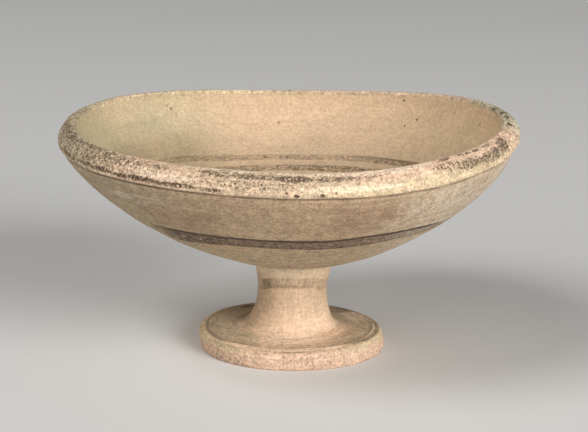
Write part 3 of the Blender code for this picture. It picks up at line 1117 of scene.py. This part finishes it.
def dirt(clay, skin):
    """Soil in the pits and the scored line, dirt and painted shade in the notch, painted shadow and stains on
    the foot, painted light and a painted highlight on the foot's top, and scattered specks.
    """
    broken = clay.streaks(9, 3, 3, 6)
    at_left = clay.facing(-68, 20, 50)
    # Dark line in the notch under the lip: dirt, and painted shade where the lip overhangs
    notch = clay.between(clay.past("wall"), -0.4, 0.9, 0.5)
    notch = notch * (0.45 + at_left * 0.25 + clay.rise(broken, 0.3, 0.7) * 0.3)
    skin = clay.mix(notch, skin, LINE_DIRT_AND_SHADE)
    blotch = clay.rise(clay.noise(clay.place, 4.5, 4, 0.7), 0.34, 0.62)
    at_front = clay.facing(2, 20, 48)
    out = clay.past("plate")
    line = clay.facing(-105, 49, 75) * 4 + clay.facing(105, 43, 90) * 5.5 + 14.6
    beyond = out - line
    # Darker and greyer on the plate at its sides and back, and hardly at all at its front
    plate = clay.rise(out - clay.facing(54, 24, 50) * 5, -2, 4.5) * clay.rise(beyond, 2.4, 0.8)
    skin = clay.mix(plate * (1 - at_front * 0.92) * (0.45 + blotch * 0.45), skin, PLATE_DARK_TONE)
    # Paler at the front of the foot top: partly paler clay, partly painted light where the front takes the
    # most light
    pale_and_lit_front = clay.most(clay.between(out, 0, 9, 2) * 0.85, clay.between(out, 16.2, 18.6, 0.5) * 0.5)
    skin = clay.mix(at_front * pale_and_lit_front, skin, PLATE_PALE_AND_LIGHT)
    # Painted light on the plate at the right back, lifting the shade beside the stem
    skin = clay.mix(clay.facing(120, 8, 24) * clay.rise(out, 6, 10) * 0.45, skin, PLATE_PALE_AND_LIGHT)
    # Painted shadow of the stem on the plate at the left back, the right back and by the flare at the left,
    # with some dirt in it
    stem_shadows_and_stains = clay.most(
        clay.facing(-146, 6, 12) * clay.between(out, 12.8, 15.8, 0.7) * 1.3,
        clay.facing(141, 6, 13) * clay.rise(out, 5, 10) * 0.9,
        clay.facing(-113, 10, 26) * clay.between(out, -2, 3, 3) * 0.5,
    )
    skin = clay.mix(stem_shadows_and_stains * (0.3 + blotch * 0.4), skin, LINE_DIRT_AND_SHADE)
    crumbly = clay.rise(clay.noise(clay.rough_place, 1.1, 3, 0.7), 0.42, 0.6)
    channel = clay.between(beyond, -1, 0.9, 0.6) * (0.52 - at_front * 0.3)
    channel = clay.most(channel, clay.rise(beyond, -6.5, -0.5) * clay.rise(beyond, 0.9, 0.1) * 0.17)
    scored = clay.between(out, 19.1, 20.3, 0.3) * clay.facing(2, 16, 32) * (0.15 + crumbly * 0.5)
    crumb_line = clay.between(out - 1.8 - clay.rise(clay.back, -1, -0.6) * 3.6, -0.4, 0.4, 0.4)
    lines = clay.most(channel, scored, crumb_line * crumbly * at_front * 0.4)
    skin = clay.mix(lines, skin, LINE_DIRT_AND_SHADE)
    # Painted highlight along the ridge of the foot at the right
    ridge = clay.between(out, 17.9, 18.9, 0.4) * clay.facing(82, 8, 18)
    skin = clay.mix(ridge * 0.45, skin, PALE_FLECKS_AND_HIGHLIGHT)
    grime = clay.facing(-70, 25, 55) * clay.rise(clay.past("edge"), -0.5, 1)
    stem_grime = clay.facing(48, 16, 36) * clay.between(clay.past("stem"), 13, 26, 4)
    skin = clay.mix(clay.most(grime, stem_grime) * 0.16, skin, GREY_DIRT)
    specks = clay.spots(clay.place, 5.5, 0.5, 0.3)
    small_specks = clay.spots(clay.rough_place, 2.4, 0.42, 0.24)
    near_lip = clay.between(clay.past("wall"), 2, 36, 2)
    outside = 1 - clay.inside * 0.6
    skin = clay.mix(specks * outside * 0.6, skin, PURPLE_DIRT)
    skin = clay.mix(small_specks * (0.08 + near_lip * 0.5) * outside, skin, PURPLE_DIRT)
    return clay.mix(clay.rise(clay.kept("pit"), 0.12, 0.5) * 0.8, skin, PIT_DIRT)


def mottled(clay, skin):
    """Uneven tone all over: broad clouds, lumps, drawn-out turning marks and fine grain."""
    clouds = clay.noise(clay.place, 22, 2) - 0.5
    lumps = clay.noise(clay.place, 5.5, 3, 0.6) - 0.5
    grain = clay.noise(clay.place, 1.5, 3, 0.75) - 0.5
    turning = clay.streaks(3.5, 1.5, 3, 2) - 0.5
    brushed = clay.streaks(24, 5, 3, 8) - 0.5
    sand = clay.grains(clay.rough_place, 0.9)[1] - 0.5
    outside = 1 - clay.inside
    on_stem = clay.between(clay.past("stem"), 1, 36, 3)
    on_side = clay.rise(clay.past("edge"), 0, 1.5)
    tone = clouds * 0.16 + lumps * (0.28 + outside * 0.26 - on_stem * 0.4)
    tone = tone + grain * (0.95 + outside * 0.4 - on_stem * 0.8 + on_side * 0.55)
    tone = tone + turning * (0.22 + outside * 0.34) + brushed * on_stem * 0.6
    tone = tone + sand * (0.1 + outside * (1 - clay.on_lip) * (0.22 - on_stem * 0.18))
    skin = clay.shaded(skin, tone + 1)
    pale = clay.spots(clay.place, 3.4, 0.5, 0.25)
    return clay.mix(pale * 0.25, skin, PALE_FLECKS_AND_HIGHLIGHT)


def roughness(clay):
    """Matt all over, with a little noise in how matt."""
    return clay.noise(clay.place, 4, 3) * 0.12 + 0.8


def surface_grain(clay):
    """The fine grain of the fired surface, deeper on the crumbly lip. Heights are in millimetres."""
    sandy = clay.noise(clay.place, 0.7, 3, 0.6) - 0.5
    crumb = clay.rise(clay.grains(clay.rough_place, 0.95)[0], 0.75, 0.2)
    turning = clay.streaks(6, 0.9, 2, 9) - 0.5
    height = sandy * 0.12 + turning * 0.07 + crumb * clay.on_lip * 0.22
    return clay.node("ShaderNodeBump", None, {"Height": height, "Distance": MM, "Strength": 1})


# The picture's view: where it aims and how far off the camera stands, in metres, and how it is turned
AIM = Vector((0.002774, 0.0, 0.068726))
CAMERA_DISTANCE = 1.100
CAMERA_ELEVATION = 13.396
CAMERA_ROLL = 0.448
FOCAL_PIXELS = 2132.9
PICTURE_WIDTH = 588
SENSOR_WIDTH = 36.0

# The studio, in metres, with (name, bearing, elevation, power) of each light
LIGHTS = (
    ("right_light", 40.0, 21.0, 236.0),
    ("front_light", -40.0, 21.0, 42.0),
    ("left_light", -60.0, 50.0, 110.0),
)
LIGHT_DISTANCE = 5.0
LIGHT_SIZE = 2.6
SURROUND_STRENGTH = 0.06
FLOOR_HALF_SIZE = 4.0


def way_out(bearing, elevation):
    """Unit step away from the vessel, towards a bearing and an elevation."""
    turn, tilt = math.radians(bearing), math.radians(elevation)
    return Vector((math.sin(turn) * math.cos(tilt), -math.cos(turn) * math.cos(tilt), math.sin(tilt)))


def plain_floor():
    """A plain pale floor, which isn't part of the object."""
    finish = Finish("pale_floor")
    sockets = {"Base Color": colour(0.78, 0.77, 0.75), "Roughness": 0.9, "Specular IOR Level": 0.1}
    sheet = bmesh.new()
    bmesh.ops.create_grid(sheet, x_segments=1, y_segments=1, size=FLOOR_HALF_SIZE)
    floor = made_object("floor", sheet, finish.surfaced(sockets))


def soft_light(name, bearing, elevation, power):
    """A soft square light that looks at the middle of the vessel."""
    light = bpy.data.lights.new(name, "AREA")
    light.size = LIGHT_SIZE
    light.energy = power
    way = way_out(bearing, elevation)
    lamp = placed(name, light)
    lamp.location = way * LIGHT_DISTANCE + AIM
    lamp.rotation_euler = (-way).to_track_quat("-Z", "Y").to_euler()


def pale_world():
    """An even pale surround."""
    world = bpy.data.worlds.new("surround")
    world.use_nodes = True
    backdrop = world.node_tree.nodes["Background"]
    backdrop.inputs["Color"].default_value = colour(1.0, 1.0, 1.0)
    backdrop.inputs["Strength"].default_value = SURROUND_STRENGTH
    bpy.context.scene.world = world


def picture_camera():
    """The camera at the picture's viewing angle."""
    lens = bpy.data.cameras.new("camera")
    lens.sensor_width = SENSOR_WIDTH
    lens.lens = FOCAL_PIXELS / PICTURE_WIDTH * SENSOR_WIDTH
    way = way_out(0.0, CAMERA_ELEVATION)
    turned = (-way).to_track_quat("-Z", "Y") @ Quaternion((0.0, 0.0, 1.0), math.radians(CAMERA_ROLL))
    camera = placed("camera", lens)
    camera.location = AIM + way * CAMERA_DISTANCE
    camera.rotation_euler = turned.to_euler()
    bpy.context.scene.camera = camera


def build():
    """Makes the piece, the floor, the light and the camera."""
    noise.seed_set(NOISE_SEED)
    piece = clay_vessel(finish_clay())
    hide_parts(NODE)
    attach(piece, "root")
    plain_floor()
    for light in LIGHTS:
        soft_light(*light)
    pale_world()
    picture_camera()
    bpy.context.scene.view_settings.view_transform = "Standard"


build()
